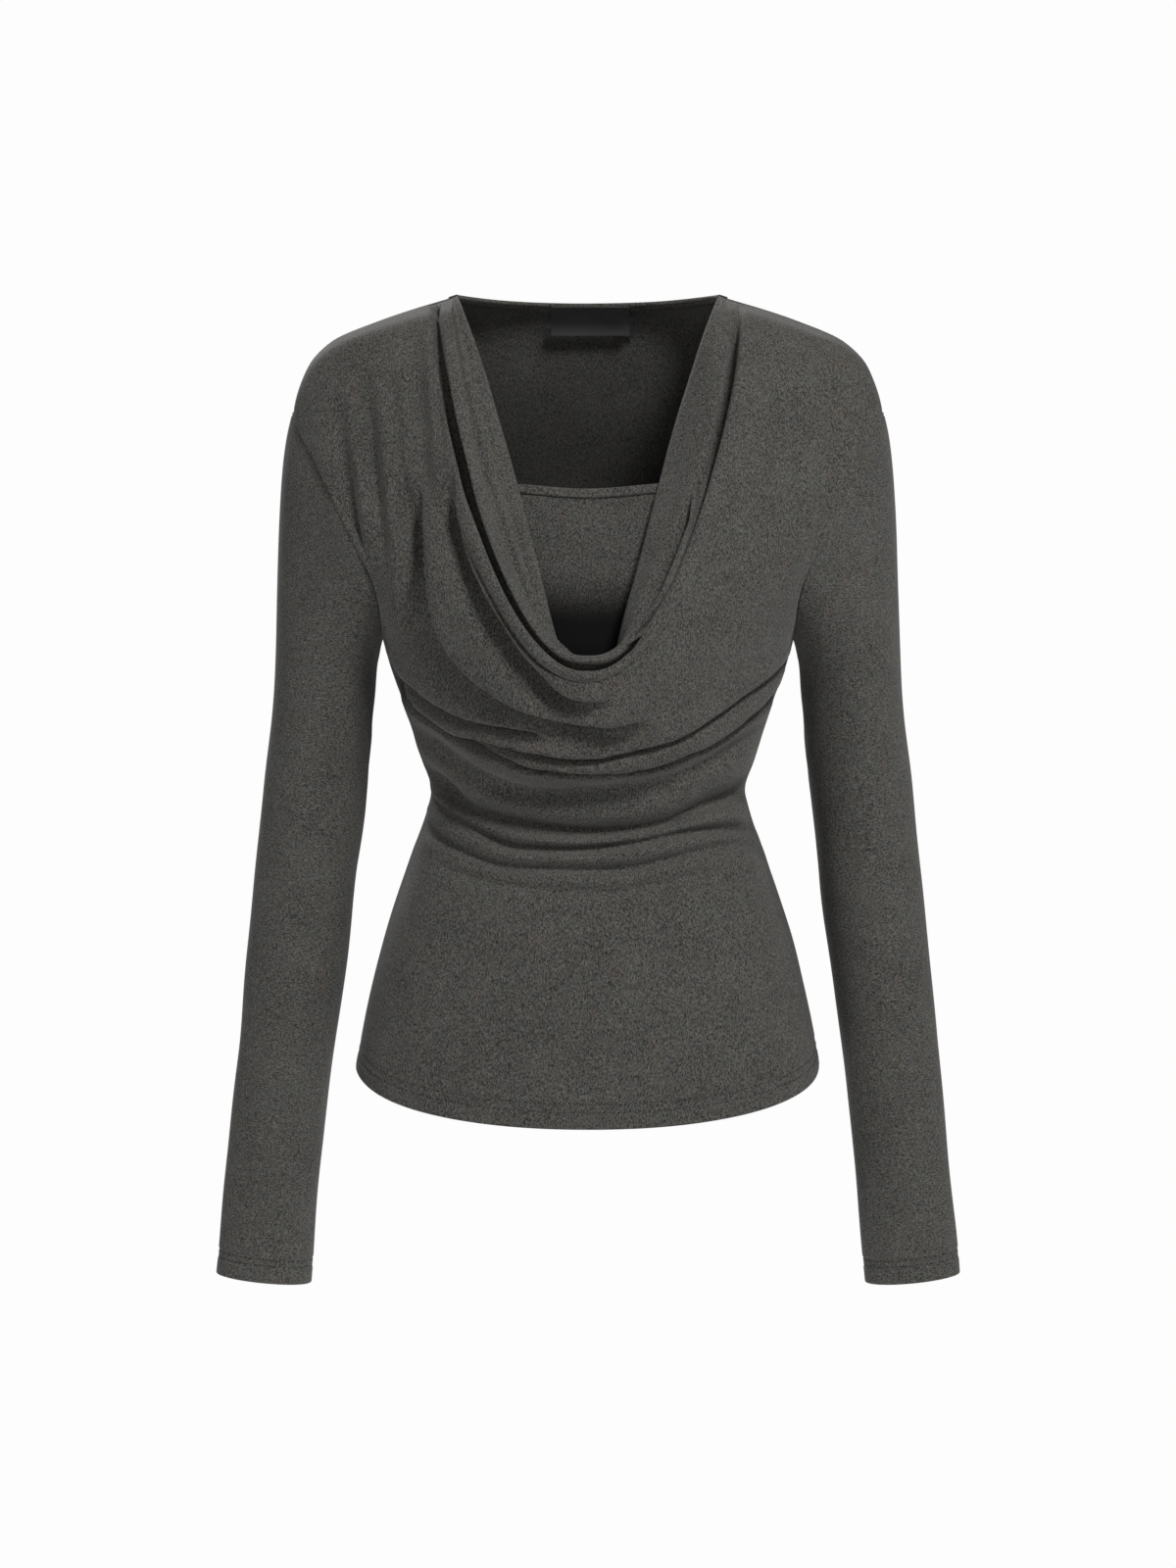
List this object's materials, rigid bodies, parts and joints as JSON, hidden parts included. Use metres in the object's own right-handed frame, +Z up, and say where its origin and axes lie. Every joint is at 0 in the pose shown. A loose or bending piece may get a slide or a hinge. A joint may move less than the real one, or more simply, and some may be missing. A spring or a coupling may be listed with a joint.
{
  "type": "cowl neck top",
  "caption": "Long sleeved jersey top with a cowl neck draped over a plain inner panel, filled out as worn, open at neck, hem and cuffs.",
  "frame": {"origin": "midway between the neck ends of the two shoulder seams, where the wearer's shoulders carry the top", "axes": "+Z up, the front faces -Y, +X to the right as seen from the front (the wearer's left)"},
  "size_m": [0.5304, 0.2535, 0.7005],
  "materials": {
    "jersey": "fine dark grey melange jersey knit, soft and matt, with a slight sheen",
    "woven_label": "black woven satin tape, bare"
  },
  "bodies": {
    "root": {"cowl_front": "jersey", "back": "jersey", "inner_panel": "jersey", "sleeve_left": "jersey", "sleeve_right": "jersey", "back_neck_binding": "jersey", "inner_panel_binding": "jersey", "neck_label": "woven_label", "size_tab": "woven_label"}
  },
  "joints": []
}
